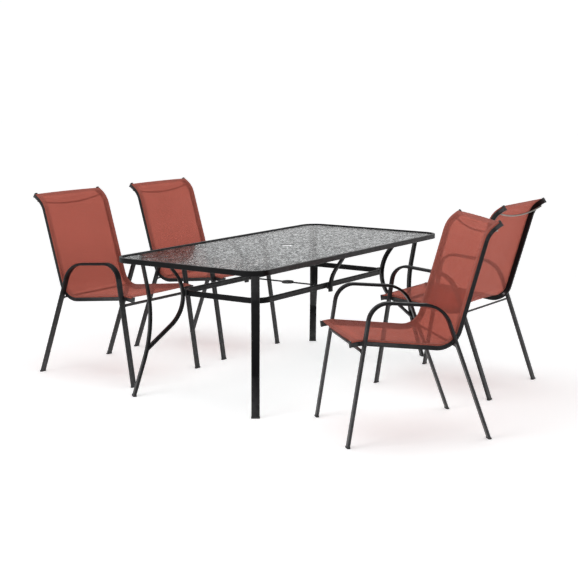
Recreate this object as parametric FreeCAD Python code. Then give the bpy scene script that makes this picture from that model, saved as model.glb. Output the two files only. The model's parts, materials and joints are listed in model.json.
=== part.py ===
import FreeCAD, Part
import math
import os

# Patio dining set: a glass-topped table and four stacking sling chairs.
# Millimetres, +Z up. The origin is on the floor under the table's umbrella hole,
# X runs along the table's long side and Y across it.

V = FreeCAD.Vector

# ---- Table: overall sizes ----
TABLE_LENGTH = 1800.0
TABLE_WIDTH = 890.0
TABLE_HEIGHT = 711.0
TOP_CORNER_RADIUS = 100.0

# Rim: a box tube with an inner ledge that carries the glass
RIM_DEPTH = 25.0
RIM_WIDTH = 16.0
RIM_WALL = 1.5
RIM_EDGE_RADIUS = 2.0
RIM_INNER_RADIUS = 0.5
LEDGE_WIDTH = 14.0
LEDGE_THICKNESS = 2.0
LEDGE_EDGE_RADIUS = 0.5
RIM_JOINT_GAP = 0.4
CONNECTOR_LENGTH = 40.0
CONNECTOR_CLEARANCE = 0.25
CONNECTOR_TURN = 8.0
CONNECTOR_EDGE_RADIUS = 1.5

# Glass
GLASS_THICKNESS = 5.0
GLASS_DROP = 5.0
GLASS_EDGE_CLEARANCE = 2.0
GLASS_CHAMFER = 0.8
UMBRELLA_HOLE_RADIUS = 35.0

# Legs and braces: flat-oval tube, bent in an upright plane through each foot
FOOT_END_INSET = 77.0
FOOT_SIDE_INSET = 68.0
LEG_PLANE_ANGLE = 35.0
LEG_TUBE_WIDTH = 40.0
LEG_TUBE_THICKNESS = 15.0
LEG_WALL = 1.5
LEG_KNEE_INWARD = 114.0
LEG_KNEE_DROP = 329.0
LEG_LEAN_RISE = 367.0
LEG_BOW_RADIUS = 780.0
LEG_TOP_INWARD = 53.0
BRACE_JOINT_DROP = 460.0
BRACE_LOWER_ANGLE = 42.0
BRACE_KNEE_INWARD = 335.0
BRACE_KNEE_DROP = 223.0
BRACE_BOW_RADIUS = 200.0
BRACE_TOP_INWARD = 162.0
TABLE_FOOT_HEIGHT = 8.0
FOOT_LIP = 1.5
PLUG_DEPTH = 22.0
PLUG_CLEARANCE = 0.3

# Corner plates, welded under the rim's ledge
PLATE_THICKNESS = 3.0
PLATE_SIDE_MARGIN = 3.0
PLATE_OUTER_REACH = 38.0
PLATE_INNER_MARGIN = 24.0
PLATE_CORNER_RADIUS = 6.0

# Lower ring, its spacers and the umbrella bar
RING_DROP = 183.0
RING_TUBE_DEPTH = 28.0
RING_TUBE_WIDTH = 15.0
RING_WALL = 1.5
RING_EDGE_RADIUS = 4.0
RING_CORNER_RADIUS = 85.0
CORNER_SPACER = 8.0
STRUT_SPACER = 10.0
SPACER_WIDTH = 22.0
SPACER_HEIGHT = 34.0
SPACER_EDGE_RADIUS = 2.0
STRUT_WIDTH = 32.0
STRUT_THICKNESS = 14.0
STRUT_WALL = 1.4
STRUT_BELOW_RING = 31.0
STRUT_KNEE_RISE = 42.0
STRUT_KNEE_RADIUS = 170.0
STRUT_SHOULDER_INSET = 80.0
STRUT_SHOULDER_RADIUS = 60.0
STRUT_TOP_CLEARANCE = 0.3
UMBRELLA_ROD_RADIUS = 4.0
UMBRELLA_ROD_DROP = 5.0
UMBRELLA_HOOP_BORE = 28.0
UMBRELLA_HOOP_WALL = 4.0
UMBRELLA_HOOP_HEIGHT = 10.0
STRUT_BOLT_RISE = 7.0

# Fasteners
BOLT_RADIUS = 2.9
BOLT_HOLE_RADIUS = 3.05
BOLT_HEAD_RADIUS = 5.0
BOLT_HEAD_HEIGHT = 3.5
BOLT_GRIP = 8.0
BOLT_HEAD_FILLET = 1.0
BOLT_SEAT_CLEARANCE = 0.05
HOLE_OVERRUN = 4.0

# Shaping
CUT_MARGIN = 10.0
LEAST_INNER_RADIUS = 0.4
TOUCHING = 1e-6

# ---- Chair: leg and arm loops (flat-oval tube), one each side ----
CHAIR_FOOT_X = 267.0
CHAIR_FRONT_FOOT_Y = 327.0
CHAIR_REAR_FOOT_Y = -327.0
ARM_FRONT_Y = 226.5
ARM_FRONT_Z = 637.0
ARM_FRONT_RADIUS = 86.0
ARM_REAR_Y = -101.0
ARM_REAR_Z = 609.5
ARM_REAR_RADIUS = 134.0
LOOP_TUBE_WIDTH = 36.0
LOOP_TUBE_THICKNESS = 13.0
LOOP_WALL = 1.3
CHAIR_FOOT_HEIGHT = 6.0

# Chair: seat and back rails, one bent tube each side, with a groove for the sling
RAIL_TUBE_WIDTH = 16.0
RAIL_TUBE_DEPTH = 26.0
RAIL_EDGE_RADIUS = 3.0
RAIL_WALL = 1.4
RAIL_INNER_RADIUS = 0.6
RAIL_TIP_Y = 312.0
RAIL_TIP_Z = 452.0
RAIL_FRONT_BEND_Y = 265.0
RAIL_FRONT_BEND_Z = 459.0
RAIL_FRONT_BEND_RADIUS = 150.0
RAIL_SEAT_BEND_Y = -160.6
RAIL_SEAT_BEND_Z = 411.8
RAIL_SEAT_BEND_RADIUS = 100.0
RAIL_ROLL_Y = -308.2
RAIL_ROLL_Z = 918.9
RAIL_ROLL_RADIUS = 110.0
RAIL_TOP_Y = -366.0
RAIL_TOP_Z = 958.0
GROOVE_WIDTH = 5.0
GROOVE_DEPTH = 6.0
GROOVE_SETBACK = 4.0
GROOVE_EDGE_RADIUS = 0.5
GROOVE_OVERRUN = 2.0
SPLINE_RADIUS = 2.1
SPLINE_CLEARANCE = 0.3
SPLINE_END_MARGIN = 1.0

# Chair: sling, cross members and plugs
SLING_THICKNESS = 2.0
SLING_EDGE_RADIUS = 0.5
SLING_LIFT = 0.3
SLING_SIDE_MARGIN = 1.0
SLING_END_MARGIN = 6.0
FRONT_BAR_RADIUS = 7.5
FRONT_BAR_HEIGHT = 420.0
REAR_BAR_RADIUS = 5.0
REAR_BAR_HEIGHT = 423.0
BAR_WALL = 1.3
BAR_WELD_DEPTH = 4.0
BOW_RADIUS = 4.0
BOW_SAG = 25.0
BOW_FROM_TOP = 30.0
BOW_END_INSET = 8.0
CAP_LIP = 1.5
CAP_THICKNESS = 4.0
CAP_INSERT = 15.0
CAP_INSERT_RADIUS = 1.0

# ---- Where the chairs stand ----
# x, side of the table, distance out from the table's edge, turn about the vertical
CHAIR_PLACES = {
    "chair_1": (-414.0, 1, 384.0, 180.0),
    "chair_2": (374.0, 1, 394.0, 180.0),
    "chair_3": (-572.0, -1, 570.0, 47.6),
    "chair_4": (384.0, -1, 366.0, 0.0),
}


# ---- Plane paths and swept tubes ----

class Plane:
    """An upright or tilted working plane: origin, two in-plane axes and their normal."""

    def __init__(self, origin, along, up):
        self.origin = origin
        self.along = along
        self.up = up
        self.side = along.cross(up)

    def point(self, a, b):
        return self.origin + self.along * a + self.up * b

    def direction(self, a, b):
        return self.along * a + self.up * b


def unit(a, b):
    size = math.hypot(a, b)
    return a / size, b / size


def rounded_path(points):
    """Straight runs joined by tangent arcs. points: (a, b, corner radius)."""
    segments = []
    start = points[0][:2]
    for i in range(1, len(points) - 1):
        a, b, radius = points[i]
        d_in = unit(a - points[i - 1][0], b - points[i - 1][1])
        d_out = unit(points[i + 1][0] - a, points[i + 1][1] - b)
        cross = d_in[0] * d_out[1] - d_in[1] * d_out[0]
        turn = math.atan2(cross, d_in[0] * d_out[0] + d_in[1] * d_out[1])
        reach = radius * math.tan(abs(turn) / 2)
        side = math.copysign(1.0, turn)
        arc_start = (a - d_in[0] * reach, b - d_in[1] * reach)
        arc_end = (a + d_out[0] * reach, b + d_out[1] * reach)
        centre = (arc_start[0] - d_in[1] * radius * side, arc_start[1] + d_in[0] * radius * side)
        segments.append(("line", start, arc_start))
        segments.append(("arc", arc_start, centre, turn, d_in))
        start = arc_end
    segments.append(("line", start, points[-1][:2]))
    return segments


def trimmed(path, front, back):
    """The same path with its first and last runs shortened."""
    first = path[0]
    last = path[-1]
    d_first = unit(first[2][0] - first[1][0], first[2][1] - first[1][1])
    d_last = unit(last[2][0] - last[1][0], last[2][1] - last[1][1])
    new_start = (first[1][0] + d_first[0] * front, first[1][1] + d_first[1] * front)
    new_end = (last[2][0] - d_last[0] * back, last[2][1] - d_last[1] * back)
    return [("line", new_start, first[2])] + path[1:-1] + [("line", last[1], new_end)]


def rounded_loop(points, radius):
    """A closed outline as (kind, ...) pieces: polygon corners rounded by one radius."""
    count = len(points)
    corners = []
    for i in range(count):
        prev_point = points[i - 1]
        here = points[i]
        next_point = points[(i + 1) % count]
        d_in = unit(here[0] - prev_point[0], here[1] - prev_point[1])
        d_out = unit(next_point[0] - here[0], next_point[1] - here[1])
        half = math.acos(max(-1.0, min(1.0, d_in[0] * d_out[0] + d_in[1] * d_out[1]))) / 2
        reach = radius * math.tan(half)
        mid = unit(d_out[0] - d_in[0], d_out[1] - d_in[1])
        inset = radius / math.cos(half) - radius
        corners.append((
            (here[0] - d_in[0] * reach, here[1] - d_in[1] * reach),
            (here[0] + mid[0] * inset, here[1] + mid[1] * inset),
            (here[0] + d_out[0] * reach, here[1] + d_out[1] * reach),
        ))
    return corners


def box_loop(width, depth, radius, centre=(0.0, 0.0)):
    """Rounded rectangle, width along u and depth along v."""
    u0 = centre[0] - width / 2
    u1 = centre[0] + width / 2
    v0 = centre[1] - depth / 2
    v1 = centre[1] + depth / 2
    return rounded_loop([(u0, v0), (u1, v0), (u1, v1), (u0, v1)], radius)


def tube_loops(width, depth, radius, wall):
    """Outer and inner outlines of a hollow tube."""
    inner_radius = max(radius - wall, LEAST_INNER_RADIUS)
    return [
        box_loop(width, depth, radius),
        box_loop(width - 2 * wall, depth - 2 * wall, inner_radius),
    ]


def flat_oval(width, thickness, wall):
    """A flat-oval tube: its narrow sides are half circles."""
    return tube_loops(width, thickness, thickness / 2, wall)


def loop_wire(loop, position, side, normal):
    """Place a closed outline in space."""
    def place(point):
        return position + side * point[0] + normal * point[1]

    edges = []
    count = len(loop)
    for i in range(count):
        arc_from, arc_mid, arc_to = [place(point) for point in loop[i]]
        if (arc_to - arc_from).Length > TOUCHING:
            edges.append(Part.Arc(arc_from, arc_mid, arc_to).toShape())
        next_from = place(loop[(i + 1) % count][0])
        if (next_from - arc_to).Length > TOUCHING:
            edges.append(Part.LineSegment(arc_to, next_from).toShape())
    return Part.Wire(edges)


def section_face(plane, loops, start, heading):
    """The tube's section at a path point, square to its heading."""
    position = plane.point(*start)
    normal = plane.direction(heading[1], -heading[0])
    wires = [loop_wire(loop, position, plane.side, normal) for loop in loops]
    face = Part.Face(wires[0])
    for wire in wires[1:]:
        face = face.cut(Part.Face(wire))
    return face.Faces[0]


def join(shapes):
    """Fuse shapes that share faces into one clean solid."""
    result = shapes[0]
    if len(shapes) > 1:
        result = result.multiFuse(shapes[1:])
    return result.removeSplitter()


def sweep(plane, path, loops):
    """Carry a section along straight runs and arcs and join the pieces."""
    pieces = []
    for segment in path:
        if segment[0] == "line":
            length = math.hypot(segment[2][0] - segment[1][0], segment[2][1] - segment[1][1])
            if length < TOUCHING:
                continue
            heading = unit(segment[2][0] - segment[1][0], segment[2][1] - segment[1][1])
            face = section_face(plane, loops, segment[1], heading)
            pieces.append(face.extrude(plane.direction(*heading) * length))
        else:
            face = section_face(plane, loops, segment[1], segment[4])
            centre = plane.point(*segment[2])
            pieces.append(face.revolve(centre, plane.side, math.degrees(segment[3])))
    return join(pieces)


def path_edges(plane, path):
    """Centre line of a path as edges."""
    edges = []
    for segment in path:
        if segment[0] == "line":
            edges.append(Part.LineSegment(plane.point(*segment[1]), plane.point(*segment[2])).toShape())
        else:
            centre = segment[2]
            points = []
            for share in (0.0, 0.5, 1.0):
                angle = segment[3] * share
                a = segment[1][0] - centre[0]
                b = segment[1][1] - centre[1]
                turned = (
                    centre[0] + a * math.cos(angle) - b * math.sin(angle),
                    centre[1] + a * math.sin(angle) + b * math.cos(angle),
                )
                points.append(plane.point(*turned))
            edges.append(Part.Arc(*points).toShape())
    return edges


def crossing(edges_a, edges_b):
    """The point where two centre lines in one plane meet."""
    return Part.Compound(edges_a).distToShape(Part.Compound(edges_b))[1][0][0]


def line_at_height(low, high, height):
    """First coordinate of a straight run at a height."""
    share = (height - low[1]) / (high[1] - low[1])
    return low[0] + (high[0] - low[0]) * share


def straight_tube(radius, wall, start, end):
    axis = end - start
    outer = Part.makeCylinder(radius, axis.Length, start, axis)
    return outer.cut(Part.makeCylinder(radius - wall, axis.Length, start, axis))


def slab(low, high):
    return Part.makeBox(high.x - low.x, high.y - low.y, high.z - low.z, low)


def clipped(shape, floor, ceiling):
    """The part of a shape between two heights."""
    box = shape.BoundBox
    low = V(box.XMin - CUT_MARGIN, box.YMin - CUT_MARGIN, floor)
    high = V(box.XMax + CUT_MARGIN, box.YMax + CUT_MARGIN, ceiling)
    return shape.common(slab(low, high))


def run_on(path, extra):
    """The same path with its last run lengthened, so that it can be cut off level."""
    return trimmed(path, 0.0, -extra)


def mirror_x(shape):
    return shape.mirror(V(0, 0, 0), V(1, 0, 0))


def mirror_y(shape):
    return shape.mirror(V(0, 0, 0), V(0, 1, 0))


def bolt(head_face, direction, length):
    """A pan-head bolt: head_face is under the head, direction runs down the shank."""
    head = Part.makeCylinder(BOLT_HEAD_RADIUS, BOLT_HEAD_HEIGHT, head_face, direction * -1)
    crown = head_face - direction * BOLT_HEAD_HEIGHT
    crown_rim = [e for e in head.Edges if (e.CenterOfMass - crown).Length < TOUCHING]
    head = head.makeFillet(BOLT_HEAD_FILLET, crown_rim)
    return head.fuse(Part.makeCylinder(BOLT_RADIUS, length, head_face, direction)).removeSplitter()


def bolt_hole(start, direction, length):
    return Part.makeCylinder(BOLT_HOLE_RADIUS, length, start, direction)


def foot_plug(plane, path, tube_width, tube_thickness, wall, height):
    """A plastic foot: a flat pad on the floor and an insert up inside the tube."""
    low = path[0][1]
    heading = unit(path[0][2][0] - low[0], path[0][2][1] - low[1])
    lean = heading[1]
    pad_centre = low[0] + heading[0] * height / 2 / lean
    pad_loop = box_loop(
        tube_width + 2 * FOOT_LIP,
        tube_thickness / lean + 2 * FOOT_LIP,
        tube_thickness / 2,
    )
    pad_wire = loop_wire(pad_loop, plane.point(pad_centre, 0), plane.side, plane.along)
    pad = Part.Face(pad_wire).extrude(V(0, 0, height))
    insert_width = tube_width - 2 * wall - 2 * PLUG_CLEARANCE
    insert_thickness = tube_thickness - 2 * wall - 2 * PLUG_CLEARANCE
    insert_loop = box_loop(insert_width, insert_thickness, insert_thickness / 2)
    face = section_face(plane, [insert_loop], low, heading)
    insert = face.extrude(plane.direction(*heading) * (height / lean + PLUG_DEPTH))
    return pad.fuse(clipped(insert, height, insert.BoundBox.ZMax)).removeSplitter()


# ---- Table ----

GLASS_TOP_Z = TABLE_HEIGHT - GLASS_DROP
GLASS_BOTTOM_Z = GLASS_TOP_Z - GLASS_THICKNESS
LEDGE_BOTTOM_Z = GLASS_BOTTOM_Z - LEDGE_THICKNESS
PLATE_BOTTOM_Z = LEDGE_BOTTOM_Z - PLATE_THICKNESS
FOOT_X = TABLE_LENGTH / 2 - FOOT_END_INSET
FOOT_Y = TABLE_WIDTH / 2 - FOOT_SIDE_INSET
LEG_KNEE_HEIGHT = PLATE_BOTTOM_Z - LEG_KNEE_DROP
BRACE_JOINT_HEIGHT = PLATE_BOTTOM_Z - BRACE_JOINT_DROP
BRACE_KNEE_HEIGHT = PLATE_BOTTOM_Z - BRACE_KNEE_DROP
PLATE_WIDTH = LEG_TUBE_WIDTH + 2 * PLATE_SIDE_MARGIN
RING_HEIGHT = PLATE_BOTTOM_Z - RING_DROP
STRUT_BOLT_HEIGHT = RING_HEIGHT + STRUT_BOLT_RISE
UMBRELLA_ROD_HEIGHT = RING_HEIGHT - UMBRELLA_ROD_DROP
LEG_PLANE_COS = math.cos(math.radians(LEG_PLANE_ANGLE))
LEG_PLANE_SIN = math.sin(math.radians(LEG_PLANE_ANGLE))


def rim_section():
    """Rim section: u is up from the tube's middle, v is outward from its middle."""
    half_depth = RIM_DEPTH / 2
    half_width = RIM_WIDTH / 2
    middle_z = TABLE_HEIGHT - half_depth
    tube = box_loop(RIM_DEPTH, RIM_WIDTH, RIM_EDGE_RADIUS)
    hollow = box_loop(RIM_DEPTH - 2 * RIM_WALL, RIM_WIDTH - 2 * RIM_WALL, RIM_INNER_RADIUS)
    ledge_centre = (
        GLASS_BOTTOM_Z - LEDGE_THICKNESS / 2 - middle_z,
        -half_width - LEDGE_WIDTH / 2 + RIM_WALL / 2,
    )
    ledge = box_loop(LEDGE_THICKNESS, LEDGE_WIDTH + RIM_WALL, LEDGE_EDGE_RADIUS, ledge_centre)
    return tube, hollow, ledge


def rim_plane():
    """The rim's path plane at the middle of its depth; its normal points down."""
    return Plane(V(0, 0, TABLE_HEIGHT - RIM_DEPTH / 2), V(1, 0, 0), V(0, 1, 0))


def rim_piece(path):
    tube, hollow, ledge = rim_section()
    plane = rim_plane()
    body = sweep(plane, path, [tube]).fuse(sweep(plane, path, [ledge]))
    return body.cut(sweep(plane, path, [hollow])).removeSplitter()


def rim_corner_points():
    x_mid = TABLE_LENGTH / 2 - RIM_WIDTH / 2
    y_mid = TABLE_WIDTH / 2 - RIM_WIDTH / 2
    return x_mid, y_mid, TOP_CORNER_RADIUS - RIM_WIDTH / 2


def rim_side_rails():
    """Two straight rails along X. Paths run so that outward is on their right."""
    x_mid, y_mid, radius = rim_corner_points()
    end = x_mid - radius - RIM_JOINT_GAP
    rail = rim_piece([("line", (-end, -y_mid), (end, -y_mid))])
    return [rail, mirror_y(rail)]


def rim_end_rails():
    """Two U-shaped rails, each with both of its rounded corners."""
    x_mid, y_mid, radius = rim_corner_points()
    start_x = x_mid - radius
    points = [(start_x, -y_mid, 0), (x_mid, -y_mid, radius), (x_mid, y_mid, radius), (start_x, y_mid, 0)]
    path = [s for s in rounded_path(points) if s[0] == "arc" or math.dist(s[1], s[2]) > TOUCHING]
    rail = rim_piece(path)
    return [rail, mirror_x(rail)]


def rim_connectors():
    """Steel sleeves inside the rim tube that carry each rail joint."""
    x_mid, y_mid, radius = rim_corner_points()
    tangent_x = x_mid - radius
    turn = math.radians(CONNECTOR_TURN)
    path = [
        ("line", (tangent_x - CONNECTOR_LENGTH, -y_mid), (tangent_x, -y_mid)),
        ("arc", (tangent_x, -y_mid), (tangent_x, -y_mid + radius), turn, (1.0, 0.0)),
    ]
    shrink = 2 * (RIM_WALL + CONNECTOR_CLEARANCE)
    loops = tube_loops(RIM_DEPTH - shrink, RIM_WIDTH - shrink, CONNECTOR_EDGE_RADIUS, RIM_WALL)
    sleeve = sweep(rim_plane(), path, loops)
    pair = [sleeve, mirror_x(sleeve)]
    return pair + [mirror_y(s) for s in pair]


def rounded_plate(half_x, half_y, radius, z_low, z_high):
    loop = rounded_loop([(-half_x, -half_y), (half_x, -half_y), (half_x, half_y), (-half_x, half_y)], radius)
    wire = loop_wire(loop, V(0, 0, z_low), V(1, 0, 0), V(0, 1, 0))
    return Part.Face(wire).extrude(V(0, 0, z_high - z_low))


def glass_top():
    inset = RIM_WIDTH + GLASS_EDGE_CLEARANCE
    plate = rounded_plate(
        TABLE_LENGTH / 2 - inset,
        TABLE_WIDTH / 2 - inset,
        TOP_CORNER_RADIUS - inset,
        GLASS_BOTTOM_Z,
        GLASS_TOP_Z,
    )
    hole = Part.makeCylinder(UMBRELLA_HOLE_RADIUS, GLASS_THICKNESS, V(0, 0, GLASS_BOTTOM_Z))
    plate = plate.cut(hole)
    flat_rims = [e for e in plate.Edges if e.BoundBox.ZLength < TOUCHING]
    return [plate.makeChamfer(GLASS_CHAMFER, flat_rims)]


def leg_plane():
    """The upright plane of the leg at +X +Y; 'along' runs inward from the foot."""
    return Plane(V(FOOT_X, FOOT_Y, 0), V(-LEG_PLANE_COS, -LEG_PLANE_SIN, 0), V(0, 0, 1))


def leg_path():
    """Leans LEG_KNEE_INWARD over LEG_LEAN_RISE; a lower table cuts it off along that slope."""
    foot_inward = LEG_KNEE_INWARD * (1 - LEG_KNEE_HEIGHT / LEG_LEAN_RISE)
    return rounded_path([
        (foot_inward, 0.0, 0),
        (LEG_KNEE_INWARD, LEG_KNEE_HEIGHT, LEG_BOW_RADIUS),
        (LEG_TOP_INWARD, PLATE_BOTTOM_Z, 0),
    ])


def brace_path():
    """Starts on the leg's centre line and bows inward past the lower ring."""
    slope = math.tan(math.radians(BRACE_LOWER_ANGLE))
    start_inward = BRACE_KNEE_INWARD - (BRACE_KNEE_HEIGHT - BRACE_JOINT_HEIGHT) / slope
    return rounded_path([
        (start_inward, BRACE_JOINT_HEIGHT, 0),
        (BRACE_KNEE_INWARD, BRACE_KNEE_HEIGHT, BRACE_BOW_RADIUS),
        (BRACE_TOP_INWARD, PLATE_BOTTOM_Z, 0),
    ])


def brace_reach():
    """Furthest inward point of the brace's centre line."""
    return brace_path()[1][2][0] + BRACE_BOW_RADIUS


def leg_tube(path, loops):
    """A tube in the leg's plane, cut off level at the foot pad and under the corner plate."""
    tube = sweep(leg_plane(), run_on(path, LEG_TUBE_THICKNESS), loops)
    return clipped(tube, TABLE_FOOT_HEIGHT, PLATE_BOTTOM_Z)


def table_leg():
    return leg_tube(leg_path(), flat_oval(LEG_TUBE_WIDTH, LEG_TUBE_THICKNESS, LEG_WALL))


def table_brace():
    plane = leg_plane()
    loops = flat_oval(LEG_TUBE_WIDTH, LEG_TUBE_THICKNESS, LEG_WALL)
    brace = leg_tube(brace_path(), loops).cut(leg_tube(leg_path(), loops[:1]))
    brace = max(brace.Solids, key=lambda s: s.Volume)
    hole = bolt_hole(plane.point(brace_reach(), RING_HEIGHT), plane.along, LEG_TUBE_THICKNESS)
    return brace.cut(hole)


def corner_plate():
    """A flat steel strip under the ledge that carries the tops of leg and brace."""
    plane = leg_plane()
    low = -PLATE_OUTER_REACH
    high = BRACE_TOP_INWARD + PLATE_INNER_MARGIN
    loop = box_loop(PLATE_WIDTH, high - low, PLATE_CORNER_RADIUS)
    wire = loop_wire(loop, plane.point((low + high) / 2, PLATE_BOTTOM_Z), plane.side, plane.along)
    return Part.Face(wire).extrude(V(0, 0, PLATE_THICKNESS))


def four_corners(shape):
    """Back right, front right, back left and front left copies of a corner piece."""
    return {
        "back_right": shape,
        "front_right": mirror_y(shape),
        "back_left": mirror_x(shape),
        "front_left": mirror_x(mirror_y(shape)),
    }


def ring_halves():
    """Outer half length and half width of the lower ring, set by the braces."""
    inward = brace_reach() + LEG_TUBE_THICKNESS / 2 + CORNER_SPACER
    touch_x = FOOT_X - inward * LEG_PLANE_COS
    touch_y = FOOT_Y - inward * LEG_PLANE_SIN
    half_x = touch_x + RING_CORNER_RADIUS * (1 - LEG_PLANE_COS)
    half_y = touch_y + RING_CORNER_RADIUS * (1 - LEG_PLANE_SIN)
    return half_x, half_y


def ring_path():
    half_x, half_y = ring_halves()
    x_mid = half_x - RING_TUBE_WIDTH / 2
    y_mid = half_y - RING_TUBE_WIDTH / 2
    radius = RING_CORNER_RADIUS - RING_TUBE_WIDTH / 2
    corners = [
        (x_mid, -y_mid, radius),
        (x_mid, y_mid, radius),
        (-x_mid, y_mid, radius),
        (-x_mid, -y_mid, radius),
    ]
    return rounded_path([(0.0, -y_mid, 0)] + corners + [(0.0, -y_mid, 0)])


def ring_plane():
    return Plane(V(0, 0, RING_HEIGHT), V(1, 0, 0), V(0, 1, 0))


def corner_bolt_holes():
    """Holes for the four bolts that run out through the ring's corners."""
    plane = leg_plane()
    inward = brace_reach() + LEG_TUBE_THICKNESS / 2 + CORNER_SPACER + RING_TUBE_WIDTH + HOLE_OVERRUN
    length = RING_TUBE_WIDTH + CORNER_SPACER + 2 * HOLE_OVERRUN
    hole = bolt_hole(plane.point(inward, RING_HEIGHT), plane.along * -1, length)
    return list(four_corners(hole).values())


def strut_bolt_holes():
    """Holes for the two bolts that hold the mid struts."""
    half_y = ring_halves()[1]
    length = RING_TUBE_WIDTH + STRUT_SPACER + STRUT_THICKNESS / 2 + HOLE_OVERRUN
    start = V(0, half_y - RING_TUBE_WIDTH - HOLE_OVERRUN, STRUT_BOLT_HEIGHT)
    hole = bolt_hole(start, V(0, 1, 0), length)
    return [hole, mirror_y(hole)]


def lower_ring():
    loops = tube_loops(RING_TUBE_DEPTH, RING_TUBE_WIDTH, RING_EDGE_RADIUS, RING_WALL)
    ring = sweep(ring_plane(), ring_path(), loops)
    for hole in corner_bolt_holes() + strut_bolt_holes():
        ring = ring.cut(hole)
    return [ring]


def strut_plane():
    return Plane(V(0, 0, 0), V(0, 1, 0), V(0, 0, 1))


def strut_centre_y():
    return ring_halves()[1] + STRUT_SPACER + STRUT_THICKNESS / 2


def mid_strut():
    """A bent flat-oval tube from the rim's inner wall down past the ring."""
    y_low = strut_centre_y()
    y_rim = TABLE_WIDTH / 2 - RIM_WIDTH
    z_top = LEDGE_BOTTOM_Z - STRUT_THICKNESS / 2 - STRUT_TOP_CLEARANCE
    path = rounded_path([
        (y_low, RING_HEIGHT - STRUT_BELOW_RING, 0),
        (y_low, RING_HEIGHT + STRUT_KNEE_RISE, STRUT_KNEE_RADIUS),
        (TABLE_WIDTH / 2 - STRUT_SHOULDER_INSET, z_top, STRUT_SHOULDER_RADIUS),
        (y_rim, z_top, 0),
    ])
    strut = sweep(strut_plane(), path, flat_oval(STRUT_WIDTH, STRUT_THICKNESS, STRUT_WALL))
    return strut.cut(strut_bolt_holes()[0])


def ring_spacers():
    """Plastic blocks between the ring and the braces and struts."""
    plane = leg_plane()
    depth = CORNER_SPACER + LEG_TUBE_THICKNESS
    near = brace_reach()
    loop = box_loop(SPACER_WIDTH, SPACER_HEIGHT, SPACER_EDGE_RADIUS)
    wire = loop_wire(loop, plane.point(near, RING_HEIGHT), plane.side, plane.up)
    block = Part.Face(wire).extrude(plane.along * depth)
    brace_outer = sweep(plane, brace_path(), flat_oval(LEG_TUBE_WIDTH, LEG_TUBE_THICKNESS, LEG_WALL)[:1])
    ring_loop = box_loop(RING_TUBE_DEPTH, RING_TUBE_WIDTH, RING_EDGE_RADIUS)
    ring_outer = sweep(ring_plane(), ring_path(), [ring_loop])
    half_x, half_y = ring_halves()
    ring_band = slab(V(0, 0, 0), V(half_x - RING_CORNER_RADIUS, half_y, TABLE_HEIGHT))
    block = block.cut(brace_outer).cut(ring_outer).cut(ring_band)
    middle = plane.point(near + LEG_TUBE_THICKNESS / 2 + CORNER_SPACER / 2, RING_HEIGHT)
    block = min(block.Solids, key=lambda s: (s.CenterOfMass - middle).Length)
    block = block.cut(corner_bolt_holes()[0])
    strut_loop = box_loop(SPACER_WIDTH, SPACER_HEIGHT, SPACER_EDGE_RADIUS)
    strut_wire = loop_wire(strut_loop, V(0, half_y, RING_HEIGHT), V(1, 0, 0), V(0, 0, 1))
    strut_block = Part.Face(strut_wire).extrude(V(0, STRUT_SPACER, 0)).cut(strut_bolt_holes()[0])
    return list(four_corners(block).values()) + [strut_block, mirror_y(strut_block)]


def umbrella_bar():
    """A rod across the ring with a hoop that steadies the umbrella pole."""
    inner_y = ring_halves()[1] - RING_TUBE_WIDTH
    hoop_radius = UMBRELLA_HOOP_BORE + UMBRELLA_HOOP_WALL
    low = V(0, 0, UMBRELLA_ROD_HEIGHT - UMBRELLA_HOOP_HEIGHT / 2)
    hoop = Part.makeCylinder(hoop_radius, UMBRELLA_HOOP_HEIGHT, low)
    start = V(0, -inner_y, UMBRELLA_ROD_HEIGHT)
    rod = Part.makeCylinder(UMBRELLA_ROD_RADIUS, 2 * inner_y, start, V(0, 1, 0))
    bore = Part.makeCylinder(UMBRELLA_HOOP_BORE, UMBRELLA_HOOP_HEIGHT, low)
    return [hoop.fuse(rod).cut(bore).removeSplitter()]


def table_feet():
    foot = foot_plug(
        leg_plane(), leg_path(), LEG_TUBE_WIDTH, LEG_TUBE_THICKNESS, LEG_WALL, TABLE_FOOT_HEIGHT
    )
    return list(four_corners(foot).values())


def table_bolts():
    """Bolts from inside the ring into the braces and the mid struts."""
    plane = leg_plane()
    seat_lift = BOLT_HEAD_RADIUS ** 2 / (2 * (RING_CORNER_RADIUS - RING_TUBE_WIDTH)) + BOLT_SEAT_CLEARANCE
    inward = brace_reach() + LEG_TUBE_THICKNESS / 2 + CORNER_SPACER + RING_TUBE_WIDTH + seat_lift
    length = RING_TUBE_WIDTH + CORNER_SPACER + BOLT_GRIP
    corner = bolt(plane.point(inward, RING_HEIGHT), plane.along * -1, length)
    half_y = ring_halves()[1]
    face = V(0, half_y - RING_TUBE_WIDTH, STRUT_BOLT_HEIGHT)
    strut = bolt(face, V(0, 1, 0), RING_TUBE_WIDTH + STRUT_SPACER + BOLT_GRIP)
    return list(four_corners(corner).values()) + [strut, mirror_y(strut)]


# ---- Chair, facing +Y, feet on Z = 0 and centred between its feet ----

RAIL_CENTRE_X = CHAIR_FOOT_X - LOOP_TUBE_WIDTH / 2 - RAIL_TUBE_WIDTH / 2


def loop_plane():
    return Plane(V(CHAIR_FOOT_X, 0, 0), V(0, 1, 0), V(0, 0, 1))


def loop_path():
    """Front foot, up to the arm, back over the arm and down to the rear foot."""
    return rounded_path([
        (CHAIR_FRONT_FOOT_Y, 0.0, 0),
        (ARM_FRONT_Y, ARM_FRONT_Z, ARM_FRONT_RADIUS),
        (ARM_REAR_Y, ARM_REAR_Z, ARM_REAR_RADIUS),
        (CHAIR_REAR_FOOT_Y, 0.0, 0),
    ])


def rail_plane():
    return Plane(V(RAIL_CENTRE_X, 0, 0), V(0, 1, 0), V(0, 0, 1))


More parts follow.
